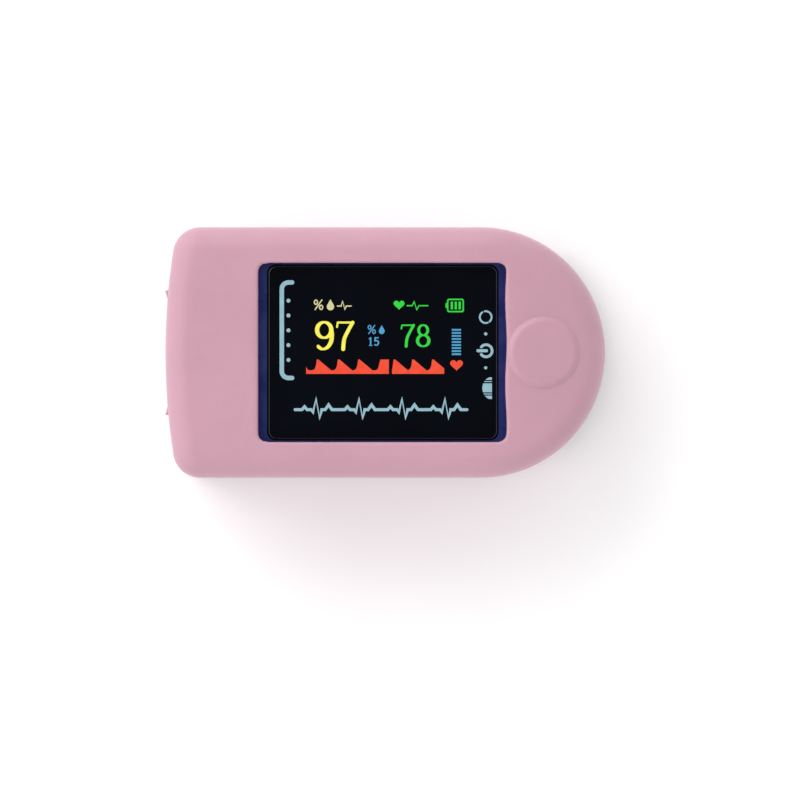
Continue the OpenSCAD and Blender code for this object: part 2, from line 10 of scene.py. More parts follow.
import bmesh
import bpy
import numpy as np
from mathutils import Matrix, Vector


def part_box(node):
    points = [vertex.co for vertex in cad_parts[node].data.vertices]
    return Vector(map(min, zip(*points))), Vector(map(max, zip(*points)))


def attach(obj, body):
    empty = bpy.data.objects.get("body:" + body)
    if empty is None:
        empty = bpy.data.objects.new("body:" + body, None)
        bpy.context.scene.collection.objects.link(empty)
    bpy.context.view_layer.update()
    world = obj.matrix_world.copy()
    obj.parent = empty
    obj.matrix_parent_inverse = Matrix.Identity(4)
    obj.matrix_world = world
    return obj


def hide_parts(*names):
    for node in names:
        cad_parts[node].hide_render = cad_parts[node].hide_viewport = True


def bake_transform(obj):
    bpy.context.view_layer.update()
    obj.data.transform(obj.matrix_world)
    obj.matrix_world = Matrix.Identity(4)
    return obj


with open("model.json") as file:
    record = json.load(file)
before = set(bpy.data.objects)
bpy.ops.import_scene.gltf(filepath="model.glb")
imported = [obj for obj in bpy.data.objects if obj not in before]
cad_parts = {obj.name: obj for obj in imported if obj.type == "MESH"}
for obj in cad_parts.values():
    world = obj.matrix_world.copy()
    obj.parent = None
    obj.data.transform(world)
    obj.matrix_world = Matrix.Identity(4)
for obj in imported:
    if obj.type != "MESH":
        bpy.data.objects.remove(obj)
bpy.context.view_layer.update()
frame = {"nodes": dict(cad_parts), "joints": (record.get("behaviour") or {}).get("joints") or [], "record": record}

MM = 0.001


def node_box(node):
    """A CAD node's lowest and highest corners, in millimetres."""
    low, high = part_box(node)
    return np.array(low) / MM, np.array(high) / MM


# ---------- sizes, from the frame and a few shape values ----------

sleeve_low, sleeve_high = node_box("upper_sleeve")
lens_low, lens_high = node_box("display_lens")
pad_low, pad_high = node_box("sleeve_button_pad")
finger_low, finger_high = node_box("lower_finger_pad")
jaw = next(j for j in frame["joints"] if j["name"] == "jaw_open")
HINGE_X, HINGE_Z = jaw["pos_m"][0] / MM, jaw["pos_m"][2] / MM

LIP_FLARE = 0.3
HALF_W = sleeve_high[1]
FRONT_X = sleeve_low[0] + LIP_FLARE
FRONT_R = 92.0
FRONT_CX = FRONT_X + FRONT_R
CORNER_R = 3.7
TAIL_CX = sleeve_high[0] - HALF_W
TOP_Z = 35.0
TOP_ROUND = 3.0
BASE_ROUND = 1.8
FALL_X, FALL_R = 12.0, 50.0
SLEEVE_T = 1.25
EDGE_R = 0.35
LOW_EDGE = node_box("lower_sleeve")[1][2]
MIRROR_Z = 2 * HINGE_Z
TAIL_SLOPE = math.tan(math.radians(10.5))
MOUTH_R = 11.3
FINGER_R = 11.4
TROUGH_DEPTH = 4.0
TROUGH_Z = LOW_EDGE - TROUGH_DEPTH + FINGER_R
WINDOW = (-17.1, 16.5, 12.15)
WINDOW_CORNER = 1.2
SLOT = (-25.6, 12.7)
SLOT_TOP = 3.0
SLOT_FROM_X = 20.0
BUTTON = np.array([(pad_low[0] + pad_high[0]) / 2, 0.0])
DISC_R = (pad_high[0] - pad_low[0]) / 2
DISC_H = 0.5
TAIL_STEPS, SIDE_STEPS, CORNER_STEPS, FRONT_STEPS = 49, 33, 15, 37
HAIR = 1e-4


def fall(x):
    """Height lost by the top towards the tail."""
    return FALL_R - math.sqrt(FALL_R**2 - (x - FALL_X) ** 2) if x > FALL_X else 0.0


def lower_edge(x, y):
    """Height of the lower half's parting edge at a point of its wall."""
    edge = LOW_EDGE - max(0.0, x - HINGE_X) * TAIL_SLOPE
    if x < HINGE_X and abs(y) < MOUTH_R:
        edge = min(edge, TROUGH_Z - math.sqrt(MOUTH_R**2 - y**2))
    return edge


def plan_side(inset):
    """Half of the body's plan at an inset, from the tail's tip to the finger end's apex."""
    half_w, front_r, r = HALF_W - inset, FRONT_R - inset, max(CORNER_R - inset, 0.4)
    corner_x = FRONT_CX - math.sqrt((front_r - r) ** 2 - (half_w - r) ** 2)
    phi = math.asin((half_w - r) / (front_r - r))
    points = []
    # two columns a hair apart keep the slot's side a sharp step
    slot_turn = math.asin(SLOT[1] / HALF_W)
    for a in sorted([*np.linspace(0, math.pi / 2, TAIL_STEPS), slot_turn - HAIR, slot_turn + HAIR]):
        points.append((TAIL_CX + half_w * math.cos(a), half_w * math.sin(a)))
    for share in np.linspace(0, 1, SIDE_STEPS)[1:-1]:
        points.append((TAIL_CX + share * (corner_x - TAIL_CX), half_w))
    for a in np.linspace(math.pi / 2, math.pi - phi, CORNER_STEPS):
        points.append((corner_x + r * math.cos(a), half_w - r + r * math.sin(a)))
    for share in np.linspace(0, 1, FRONT_STEPS)[1:]:
        a = phi * (1 - share)
        points.append((FRONT_CX - front_r * math.cos(a), front_r * math.sin(a)))
    return points


@functools.lru_cache(maxsize=None)
def plan(inset):
    """The whole plan at an inset, as a closed ring of points."""
    half = plan_side(inset)
    return np.array(half + [(x, -y) for x, y in reversed(half[1:-1])])


# ---------- mesh helpers ----------

def mesh_piece(name, verts, faces, material, smooth=True):
    """A mesh object from points in millimetres."""
    mesh = bpy.data.meshes.new(name)
    mesh.from_pydata([tuple(np.asarray(v) * MM) for v in verts], [], faces)
    mesh.validate()
    work = bmesh.new()
    work.from_mesh(mesh)
    bmesh.ops.remove_doubles(work, verts=work.verts, dist=1e-7)
    bmesh.ops.recalc_face_normals(work, faces=work.faces)
    work.to_mesh(mesh)
    work.free()
    mesh.polygons.foreach_set("use_smooth", [smooth] * len(mesh.polygons))
    piece = bpy.data.objects.new(name, mesh)
    bpy.context.scene.collection.objects.link(piece)
    mesh.materials.append(material)
    return piece


def loop_of_profiles(profiles):
    """Quads of a closed ring of closed profiles, each an equal list of points."""
    count, size = len(profiles), len(profiles[0])
    verts = [p for profile in profiles for p in profile]
    faces = []
    for i in range(count):
        j = (i + 1) % count
        for k in range(size):
            m = (k + 1) % size
            faces.append((i * size + k, j * size + k, j * size + m, i * size + m))
    return verts, faces


def quads(rings, size):
    """Quads between neighbouring rings of points."""
    faces = []
    for i in range(rings - 1):
        for k in range(size):
            a, b = i * size + k, i * size + (k + 1) % size
            faces.append((a, b, b + size, a + size))
    return faces


def tube(path, r, sides=12):
    """Points and faces of a round wire along a path."""
    path = np.asarray(path, float)
    verts = []
    up = np.array([0.0, 1.0, 0.0])
    for i in range(len(path)):
        t = path[min(i + 1, len(path) - 1)] - path[max(i - 1, 0)]
        t /= np.linalg.norm(t)
        guess = up if abs(t @ up) < 0.9 else np.array([1.0, 0.0, 0.0])
        u = np.cross(guess, t)
        u /= np.linalg.norm(u)
        v = np.cross(t, u)
        for k in range(sides):
            a = 2 * math.pi * k / sides
            verts.append(path[i] + r * (math.cos(a) * u + math.sin(a) * v))
    faces = quads(len(path), sides)
    faces.append(tuple(range(sides))[::-1])
    faces.append(tuple((len(path) - 1) * sides + k for k in range(sides)))
    return verts, faces


def smooth_path(points, steps=6):
    """A Catmull-Rom curve through the points."""
    p = [np.asarray(q, float) for q in points]
    out = []
    for i in range(len(p) - 1):
        p0, p1, p2, p3 = p[max(i - 1, 0)], p[i], p[i + 1], p[min(i + 2, len(p) - 1)]
        for k in range(steps):
            t = k / steps
            out.append(0.5 * (2 * p1 + (p2 - p0) * t + (2 * p0 - 5 * p1 + 4 * p2 - p3) * t * t
                              + (3 * p1 - p0 - 3 * p2 + p3) * t**3))
    out.append(p[-1])
    return out


class Shape:
    """Several closed shapes gathered into one mesh."""

    def __init__(self):
        self.verts, self.faces = [], []

    def add(self, verts, faces):
        base = len(self.verts)
        self.verts += list(verts)
        self.faces += [tuple(base + k for k in f) for f in faces]

    def piece(self, name, material, smooth=True):
        return mesh_piece(name, self.verts, self.faces, material, smooth)


def unit(vector):
    return vector / np.linalg.norm(vector)


def sharp_shading(piece, degrees=35):
    """Keeps edges over this angle crisp on a piece made here."""
    piece.data.set_sharp_from_angle(angle=math.radians(degrees))


def bevel(piece, width, segments=2, degrees=40):
    """Softens a piece's edges with a modifier, width in millimetres."""
    mod = piece.modifiers.new("soft_edges", "BEVEL")
    mod.width = width * MM
    mod.segments = segments
    mod.limit_method = "ANGLE"
    mod.angle_limit = math.radians(degrees)
    mod.harden_normals = True


# ---------- materials ----------

def new_material(name):
    """A material with its node tree, shader and object coordinates."""
    mat = bpy.data.materials.new(name)
    mat.use_nodes = True
    net = mat.node_tree
    coords = net.nodes.new("ShaderNodeTexCoord")
    return mat, net, net.nodes["Principled BSDF"], coords.outputs["Object"]


def put(node, values):
    """Sets a node's own inputs, by name."""
    for name, value in values.items():
        node.inputs[name].default_value = value


def noise(net, coords, scale, detail=3.0, roughness=0.55):
    tex = net.nodes.new("ShaderNodeTexNoise")
    put(tex, {"Scale": scale, "Detail": detail, "Roughness": roughness})
    net.links.new(coords, tex.inputs["Vector"])
    return tex.outputs["Fac"]


def ramp(net, value, stops):
    """A colour ramp over stops of (position, colour)."""
    node = net.nodes.new("ShaderNodeValToRGB")
    elements = node.color_ramp.elements
    while len(elements) < len(stops):
        elements.new(0.5)
    for element, (position, colour) in zip(elements, stops):
        element.position = position
        element.color = (*colour, 1)
    net.links.new(value, node.inputs["Fac"])
    return node.outputs["Color"]


def map_range(net, value, low_in, high_in, low, high):
    """A value mapped from one range to another, and held within it."""
    node = net.nodes.new("ShaderNodeMapRange")
    for name, number in zip(("From Min", "From Max", "To Min", "To Max"), (low_in, high_in, low, high)):
        node.inputs[name].default_value = number
    net.links.new(value, node.inputs["Value"])
    return node.outputs["Result"]


def from_noise(net, value, low, high):
    """A noise value's usual span, mapped to low and high."""
    return map_range(net, value, 0.3, 0.7, low, high)


def combine(net, operation, *values):
    """A Math node over sockets and numbers."""
    node = net.nodes.new("ShaderNodeMath")
    node.operation = operation
    for socket, value in zip(node.inputs, values):
        if isinstance(value, float):
            socket.default_value = value
        else:
            net.links.new(value, socket)
    return node.outputs[0]


def shade(colour, factor):
    return tuple(min(1.0, c * factor) for c in colour)


def add_bump(net, shader, value, height, strength=1.0):
    bump = net.nodes.new("ShaderNodeBump")
    put(bump, {"Strength": strength, "Distance": height * MM})
    net.links.new(value, bump.inputs["Height"])
    net.links.new(bump.outputs["Normal"], shader.inputs["Normal"])


def surface(name, colour, roughness, *, metallic=0.0, mottle=0.05, mottle_scale=260.0, grain_scale=2600.0,
            grain_height=0.012, rough_spread=0.06, edge_wear=0.0, coat=0.0, stretch=None):
    """A moulded, painted or metal surface: mottled colour, uneven gloss and fine grain."""
    mat, net, shader, coords = new_material(name)
    if stretch:
        mapping = net.nodes.new("ShaderNodeMapping")
        mapping.inputs["Scale"].default_value = stretch
        net.links.new(coords, mapping.inputs["Vector"])
        coords = mapping.outputs["Vector"]
    patches = noise(net, coords, mottle_scale)
    tint = ramp(net, patches, [(0.3, shade(colour, 1 - mottle)), (0.7, shade(colour, 1 + mottle))])
    if edge_wear:
        geometry = net.nodes.new("ShaderNodeNewGeometry")
        worn = map_range(net, geometry.outputs["Pointiness"], 0.53, 0.64, 0.0, edge_wear)
        mix = net.nodes.new("ShaderNodeMix")
        mix.data_type = "RGBA"
        net.links.new(worn, mix.inputs["Factor"])
        net.links.new(tint, mix.inputs["A"])
        mix.inputs["B"].default_value = (*shade(colour, 1.6), 1)
        tint = mix.outputs["Result"]
    net.links.new(tint, shader.inputs["Base Color"])
    net.links.new(from_noise(net, patches, roughness - rough_spread, roughness + rough_spread),
              shader.inputs["Roughness"])
    put(shader, {"Metallic": metallic, "Coat Weight": coat})
    add_bump(net, shader, noise(net, coords, grain_scale, 2.0), grain_height)
    return mat


def silicone(name, colour, roughness=0.52):
    """Matte silicone: soft mottling, a velvety sheen, fine moulded grain, and a little light let in."""
    mat, net, shader, coords = new_material(name)
    broad = noise(net, coords, 90.0, 2.0)
    fine = noise(net, coords, 900.0, 3.0)
    most = combine(net, "MULTIPLY", broad, 0.65)
    both = combine(net, "MULTIPLY_ADD", fine, 0.35, most)
    tint = ramp(net, both, [(0.3, shade(colour, 0.965)), (0.7, shade(colour, 1.03))])
    net.links.new(tint, shader.inputs["Base Color"])
    net.links.new(from_noise(net, fine, roughness - 0.05, roughness + 0.06), shader.inputs["Roughness"])
    put(shader, {"Subsurface Weight": 0.18, "Subsurface Radius": (1.0, 0.45, 0.5),
                 "Subsurface Scale": 0.0012, "Sheen Weight": 0.12, "Sheen Roughness": 0.5,
                 "Specular IOR Level": 0.38})
    add_bump(net, shader, noise(net, coords, 3800.0, 2.0), 0.008, 0.8)
    return mat


def lit(name, colour, strength):
    """A lit patch of the display behind its gloss lens, with a faint row structure."""
    mat, net, shader, coords = new_material(name)
    glow = noise(net, coords, 1500.0, 2.0)
    tint = ramp(net, glow, [(0.3, shade(colour, 0.88)), (0.7, colour)])
    net.links.new(tint, shader.inputs["Emission Color"])
    shader.inputs["Emission Strength"].default_value = strength
    net.links.new(ramp(net, glow, [(0.3, (0.01, 0.01, 0.012)), (0.7, (0.02, 0.02, 0.025))]),
              shader.inputs["Base Color"])
    shader.inputs["Roughness"].default_value = 0.12
    return mat


def cell_jacket():
    """A printed AAA jacket: dark body, pale band and bare metal ends."""
    mat, net, shader, coords = new_material("cell_jacket")
    split = net.nodes.new("ShaderNodeSeparateXYZ")
    net.links.new(coords, split.inputs[0])
    low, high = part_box("battery_cell_left")
    along = map_range(net, split.outputs["X"], low.x, high.x, 0.0, 1.0)
    bands = ramp(net, along, [
        (0.0, (0.62, 0.63, 0.65)), (0.03, (0.03, 0.11, 0.08)), (0.62, (0.72, 0.74, 0.74)),
        (0.70, (0.05, 0.22, 0.14)), (0.955, (0.62, 0.63, 0.65)),
    ])
    bands.node.color_ramp.interpolation = "CONSTANT"
    net.links.new(bands, shader.inputs["Base Color"])
    net.links.new(from_noise(net, noise(net, coords, 700.0), 0.25, 0.38), shader.inputs["Roughness"])
    shader.inputs["Metallic"].default_value = 0.65
    add_bump(net, shader, noise(net, coords, 1800.0, 2.0), 0.006)
    return mat


def board_finish():
    """Green solder mask with traces as slightly raised lines."""
    mat, net, shader, coords = new_material("circuit_board")
    cells = net.nodes.new("ShaderNodeTexVoronoi")
    cells.distance = "MANHATTAN"
    cells.inputs["Scale"].default_value = 420.0
    net.links.new(coords, cells.inputs["Vector"])
    tint = ramp(net, cells.outputs["Distance"],
                [(0.30, (0.012, 0.12, 0.05)), (0.42, (0.025, 0.20, 0.08))])
    net.links.new(tint, shader.inputs["Base Color"])
    net.links.new(from_noise(net, noise(net, coords, 900.0), 0.25, 0.4), shader.inputs["Roughness"])
    add_bump(net, shader, cells.outputs["Distance"], 0.02, 0.5)
    return mat


PINK = (0.445, 0.245, 0.305)
NAVY = (0.006, 0.012, 0.085)
LENS_BLACK = (0.0016, 0.0022, 0.0040)
GREY_PLASTIC = (0.56, 0.58, 0.61)
STEEL = (0.55, 0.56, 0.58)

materials = {
    "sleeve_silicone": silicone("sleeve_silicone", PINK),
    "finger_pad_rubber": silicone("finger_pad_rubber", (0.028, 0.030, 0.034), 0.6),
    "circuit_board": board_finish(),
    "cell_jacket": cell_jacket(),
}


def plain(name, colour, roughness, **values):
    materials[name] = surface(name, colour, roughness, **values)


plain("housing_plastic", NAVY, 0.30, mottle=0.08, grain_height=0.006, edge_wear=0.25)
plain("tray_plastic", GREY_PLASTIC, 0.45, mottle=0.03, edge_wear=0.2)
plain("sensor_window", (0.16, 0.012, 0.014), 0.12, mottle=0.1, grain_height=0.002, coat=0.5)
plain("black_chip", (0.012, 0.012, 0.014), 0.55, mottle=0.15)
plain("emitter_body", (0.80, 0.77, 0.70), 0.4)
plain("contact_nickel", (0.68, 0.67, 0.63), 0.28, metallic=1.0, stretch=(1, 1, 6))
plain("pin_steel", STEEL, 0.22, metallic=1.0, grain_height=0.004, stretch=(6, 1, 6))
plain("spring_steel", (0.42, 0.43, 0.45), 0.3, metallic=1.0, grain_height=0.004)
plain("screw_steel", (0.10, 0.10, 0.11), 0.35, metallic=0.9, edge_wear=0.5)
plain("polyimide", (0.48, 0.17, 0.022), 0.25, mottle=0.08, coat=0.3, stretch=(1, 8, 1))
plain("wire_red", (0.42, 0.016, 0.012), 0.35)
plain("wire_black", (0.012, 0.012, 0.013), 0.35)
plain("lens_acrylic", LENS_BLACK, 0.07, mottle=0.2, mottle_scale=60.0, grain_height=0.0006,
      rough_spread=0.02)
plain("adhesive", (0.70, 0.70, 0.66), 0.8)
plain("panel_glass", (0.008, 0.010, 0.016), 0.1, grain_height=0.002)
plain("white_plastic", (0.78, 0.79, 0.78), 0.42, mottle=0.03, edge_wear=0.1)
plain("capacitor_ceramic", (0.36, 0.25, 0.13), 0.5, mottle=0.2, mottle_scale=900.0)
lens_print = surface("lens_print", (0.23, 0.38, 0.44), 0.14, mottle=0.05, mottle_scale=900.0,
                     grain_height=0.001)
lit_yellow = lit("lit_yellow", (1.0, 0.93, 0.10), 1.0)
lit_pale = lit("lit_pale", (0.95, 0.90, 0.45), 0.75)
lit_green = lit("lit_green", (0.03, 0.82, 0.05), 0.85)
lit_blue = lit("lit_blue", (0.10, 0.48, 0.85), 0.75)
lit_red = lit("lit_red", (1.0, 0.075, 0.022), 0.95)

for row in frame["record"]["subparts"]:
    cad = frame["nodes"][row["node"]]
    cad.data.materials.clear()
    cad.data.materials.append(materials[row["material_slot"]])


# ---------- the sleeves ----------

def nearest_on_window(p, wave):
    """Where the window's edge is met from a point of the plan."""
    x0, x1, half = WINDOW
    middle = np.array([(x0 + x1) / 2, 0.0])
    reach = np.array([(x1 - x0) / 2, half])
    d = p - middle
    inner = reach - WINDOW_CORNER
    # scale the direction to the rounded rectangle
    s = 1.0 / max(abs(d[0]) / reach[0], abs(d[1]) / reach[1])
    q = d * s
    core = np.clip(q, -inner, inner)
    off = q - core
    n = np.linalg.norm(off)
    if n > 1e-9:
        q = core + off * (WINDOW_CORNER / n)
    if q[0] > inner[0]:
        q = q + np.array([wave * math.sin(q[1] * 0.55 + 0.8), 0.0])
    return middle + q


def spread(a, b, steps):
    return [a + (b - a) * k / steps for k in range(steps + 1)]


def column(i):
    """The plan's i-th point at any inset."""
    return lambda inset: plan(inset)[i]


def parting_edge(at, edge, up):
    """The softened edge where a sleeve half ends, with up 1 for the upper half and -1 for the lower one."""
    points = []
    for a in (0, 30, 60, 90):
        p = at(EDGE_R * (1 - math.sin(math.radians(a))))
        points.append((*p, edge + up * EDGE_R * (1 - math.cos(math.radians(a)))))
    return points


def upper_profiles():
    """Closed profiles round the upper sleeve: parting edge, wall, top, window edge and back inside."""
    rim_r, inner_z, window_wave, inner_fall = 0.4, 0.02, 0.10, 0.6
    base = plan(0.0)
    profiles = []
    for i in range(len(base)):
        at = column(i)
        x, y = base[i]
        edge = MIRROR_Z - lower_edge(x, y)
        profile = parting_edge(at, edge, 1)
        wall_top = TOP_Z - TOP_ROUND - fall(x)
        for z in spread(edge + EDGE_R, wall_top, 10)[1:-1]:
            profile.append((x, y, z))
        for a in range(0, 91, 9):
            p = at(TOP_ROUND * (1 - math.cos(math.radians(a))))
            drop = TOP_ROUND * (1 - math.sin(math.radians(a)))
            profile.append((*p, TOP_Z - fall(p[0]) - drop))
        flat = at(TOP_ROUND)
        rim = nearest_on_window(flat, window_wave)
        outward = unit(flat - rim)
        rim_top = rim + outward * rim_r
        for share in np.linspace(0, 1, 17)[1:]:
            p = flat + (rim_top - flat) * share
            profile.append((*p, TOP_Z - fall(p[0])))
        for a in (30, 60, 90):
            p = rim + outward * rim_r * (1 - math.sin(math.radians(a)))
            profile.append((*p, TOP_Z - fall(p[0]) - rim_r * (1 - math.cos(math.radians(a)))))
        under = TOP_Z - SLEEVE_T + inner_z
        profile.append((rim[0], rim[1], under - fall(rim[0])))
        inner = at(SLEEVE_T)
        for share in np.linspace(0, 1, 7)[1:]:
            p = rim + (inner - rim) * share
            profile.append((*p, under - fall(p[0]) - (inner_fall if share == 1 else 0.0)))
        profile.append((inner[0], inner[1], edge + 0.2))
        soft = at(SLEEVE_T - 0.2)
        profile.append((soft[0], soft[1], edge))
        profiles.append(profile)
    return profiles


def slot_edge(p):
    """Where the door slot's edge is met from a point of the plan."""
    r = 0.6
    core = np.array([max(p[0], SLOT[0] + r), np.clip(p[1], -SLOT[1] + r, SLOT[1] - r)])
    off = p - core
    n = np.linalg.norm(off)
    return core + off * (r / n) if n > 1e-9 else p


def lower_profiles():
    """Closed profiles round the lower sleeve: parting edge, wall, underside, door slot and back inside."""
    lip = 0.25
    rounds = [BASE_ROUND * (1 - math.cos(math.radians(a))) for a in range(0, 91, 10)]
    base = plan(0.0)
    under_steps = 5
    profiles = []
    for i in range(len(base)):
        x, y = base[i]
        at = column(i)
        edge = lower_edge(x, y)
        open_tail = x > SLOT_FROM_X and abs(y) < SLOT[1]
        wall_foot = SLOT_TOP if open_tail else BASE_ROUND
        profile = parting_edge(at, edge, -1)
        for z in spread(edge - EDGE_R, wall_foot, 10)[1:-1]:
            profile.append((x, y, z))
        inner = at(SLEEVE_T)
        if open_tail:
            # as many points as elsewhere, so that the profiles match
            for share in np.linspace(0, 1, len(rounds) + under_steps + 3):
                p = np.array([x, y]) + (inner - np.array([x, y])) * share
                profile.append((*p, SLOT_TOP))
        else:
            for a, inset in zip(range(0, 91, 10), rounds):
                p = at(inset)
                profile.append((*p, BASE_ROUND * (1 - math.sin(math.radians(a)))))
            flat = np.array(beside_slot((*at(rounds[-1]), 0.0))[:2])
            rim = slot_edge(flat)
            gap = flat - rim
            reach = np.linalg.norm(gap)
            rim_low = rim + gap / max(reach, 1e-9) * min(lip, reach)
            for share in np.linspace(0, 1, under_steps + 1)[1:]:
                p = flat + (rim_low - flat) * share
                profile.append((*p, 0.0))
            profile.append((rim[0], rim[1], lip))
            profile.append((rim[0], rim[1], SLEEVE_T - 0.1))
            profile.append((inner[0], inner[1], SLEEVE_T))
        profile.append((inner[0], inner[1], SLOT_TOP + 0.001))
        profile.append((inner[0], inner[1], edge - 0.2))
        soft = at(SLEEVE_T - 0.2)
        profile.append((soft[0], soft[1], edge))
        profiles.append([beside_slot(p) for p in profile])
    return profiles


def beside_slot(p):
    """Keeps the tail's side walls out of the door slot, sliding a point round the tail to the slot's side."""
    x, y, z = p
    if x > SLOT_FROM_X and z < SLOT_TOP and abs(y) < SLOT[1]:
        r = math.hypot(x - TAIL_CX, y)
        x = TAIL_CX + math.sqrt(max(r**2 - SLOT[1] ** 2, 0.0))
        y = math.copysign(SLOT[1], y)
    return x, y, z


def finger_lips(upper):
    """The wedges of silicone that stand out beside the finger opening, one on each side."""
    shape = Shape()
    root_y, tip_y, height, root_in, depth, sunk = 6.8, 8.5, 1.7, 0.27, 0.7, 0.02
    flip = (lambda z: MIRROR_Z - z) if upper else (lambda z: z)
    for side in (1, -1):
        verts = []
        ys = np.linspace(root_y, tip_y, 9)
        for y in ys:
            share = (y - root_y) / (tip_y - root_y)
            front, back = FRONT_X + root_in - share * (root_in + LIP_FLARE), FRONT_X + depth
            top = min(lower_edge(FRONT_X, y), LOW_EDGE) - sunk
            foot = min(LOW_EDGE - height, top - sunk)
            for x, z in ((front, top), (back, top), (back, foot), (front + 0.25 * share, foot)):
                verts.append((x, side * y, flip(z)))
        end = (len(ys) - 1) * 4
        shape.add(verts, quads(len(ys), 4) + [(0, 1, 2, 3), (end + 3, end + 2, end + 1, end)])
    return shape


def silicone_piece(name, verts, faces, body, *nodes):
    """A piece of the sleeve that rides on a body and stands for the CAD nodes named."""
    piece = mesh_piece(name, verts, faces, materials["sleeve_silicone"])
    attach(piece, body)
    if nodes:
        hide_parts(*nodes)
    return piece


upper_skin = silicone_piece("sleeve_upper_skin", *loop_of_profiles(upper_profiles()), "upper", "upper_sleeve")
sharp_shading(upper_skin, 50)
lower_skin = silicone_piece("sleeve_lower_skin", *loop_of_profiles(lower_profiles()), "lower", "lower_sleeve")
sharp_shading(lower_skin, 50)
for half in ("upper", "lower"):
    lips = finger_lips(half == "upper")
    bevel(silicone_piece(f"sleeve_{half}_lips", lips.verts, lips.faces, half), 0.15, 3)


def disc_outline():
    """The disc's half section, as (radius, height over the sleeve's top)."""
    full_r, foot_r, sunk, root = DISC_R - 0.75, DISC_R + 0.4, 0.015, -0.3
    outline = [(0.0, DISC_H)] + [(r, DISC_H) for r in np.linspace(0.6, full_r, 8)]
    for share in np.linspace(0, 1, 17)[1:]:
        eased = share**1.6
        drop = (DISC_H + sunk) * eased * eased * (3 - 2 * eased)
        outline.append((full_r + (foot_r - full_r) * share, DISC_H - drop))
    return outline + [(foot_r, root), (0.0, root)]


def button_disc():
    """The raised disc over the button, which follows the sleeve's top."""
    outline = disc_outline()
    turns = 96
    verts, faces = [], []
    for r, h in outline:
        for k in range(turns if r else 1):
            a = 2 * math.pi * k / turns
            x, y = BUTTON[0] + r * math.cos(a), r * math.sin(a)
            verts.append((x, y, TOP_Z - fall(x) + h))
    first = 1
    last = first + (len(outline) - 3) * turns
    for k in range(turns):
        faces.append((0, first + k, first + (k + 1) % turns))
    for ring in range(first, last, turns):
        for k in range(turns):
            a, b = ring + k, ring + (k + 1) % turns
            faces.append((a, a + turns, b + turns, b))
    for k in range(turns):
        faces.append((last + k, len(verts) - 1, last + (k + 1) % turns))
    disc = mesh_piece("sleeve_button_disc", verts, faces, materials["sleeve_silicone"])
    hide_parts("sleeve_button_pad")
    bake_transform(disc)
    return disc


button_disc()


# ---------- the lens and what it shows ----------

def rounded_outline(x0, x1, y0, y1, r, steps=8):
    """A rectangle's outline with round corners."""
    points = []
    corners = ((x1 - r, y1 - r, 0), (x0 + r, y1 - r, 90), (x0 + r, y0 + r, 180), (x1 - r, y0 + r, 270))
    for cx, cy, start in corners:
        for a in np.linspace(start, start + 90, steps + 1):
            points.append((cx + r * math.cos(math.radians(a)), cy + r * math.sin(math.radians(a))))
    return points


def slab(low, high, corner, edge, steps=5):
    """A plate with rounded plan corners and a softened top edge."""
    rings = [(0.0, low[2])]
    for a in np.linspace(0, 90, steps + 1):
        inset = edge * (1 - math.cos(math.radians(a)))
        rings.append((inset, high[2] - edge * (1 - math.sin(math.radians(a)))))
    verts = []
    for inset, z in rings:
        for x, y in rounded_outline(low[0] + inset, high[0] - inset, low[1] + inset, high[1] - inset,
                                    max(corner - inset, 0.05)):
            verts.append((x, y, z))
    n = len(verts) // len(rings)
    faces = [tuple(range(n))[::-1], tuple(range((len(rings) - 1) * n, len(rings) * n))]
    return verts, faces + quads(len(rings), n)


lens = mesh_piece("lens_plate", *slab(lens_low, lens_high, 1.2, 0.25), materials["lens_acrylic"])
sharp_shading(lens, 30)
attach(lens, "upper")
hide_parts("display_lens")

GRAPHIC_LOW = lens_high[2] - 0.05
GRAPHIC_HIGH = lens_high[2] + 0.012
END_STEPS = 8


def flat_shape(points):
    """A thin raised patch on the lens, from its outline."""
    n = len(points)
    verts = [(x, y, GRAPHIC_LOW) for x, y in points] + [(x, y, GRAPHIC_HIGH) for x, y in points]
    faces = [tuple(range(n))[::-1], tuple(range(n, 2 * n))]
    faces += [(k, (k + 1) % n, n + (k + 1) % n, n + k) for k in range(n)]
    return verts, faces


def stroke_sides(pts, widths, closed):
    """Points along both sides of a stroke, mitred at its corners."""
    count = len(pts)
    left, right = [], []
    for i, p in enumerate(pts):
        before = pts[i - 1] if closed or i > 0 else p
        after = pts[(i + 1) % count] if closed or i < count - 1 else p
        runs = [unit(r) for r in (p - before, after - p) if np.linalg.norm(r) > 1e-9]
        t = sum(runs)
        t = t / max(np.linalg.norm(t), 1e-9)
        mitre = min(1 / max(abs(t @ runs[0]), 0.3), 1.8)
        n = np.array([-t[1], t[0]]) * widths[i] / 2 * mitre
        left.append(p + n)
        right.append(p - n)
    return left, right


def half_round(verts, faces, centre, out, from_low, to_low):
    """Closes a stroke's end with a half circle that shares the stroke's corners."""
    first = np.array(verts[from_low][:2]) - centre
    reach = np.linalg.norm(first)
    rim = []
    for k in range(1, END_STEPS):
        a = math.pi * k / END_STEPS
        rim.append(centre + (first * math.cos(a) + out * reach * math.sin(a)))
    base, middle, end = len(verts), len(verts) + len(rim), len(verts) + 2 * len(rim)
    verts += [(*q, GRAPHIC_LOW) for q in rim] + [(*q, GRAPHIC_HIGH) for q in rim]
    lows = [from_low, *range(base, middle), to_low]
    highs = [from_low + 2, *range(middle, end), to_low + 2]
    faces += [tuple(lows), tuple(reversed(highs))]
    faces += [(lows[k], lows[k + 1], highs[k + 1], highs[k]) for k in range(len(lows) - 1)]


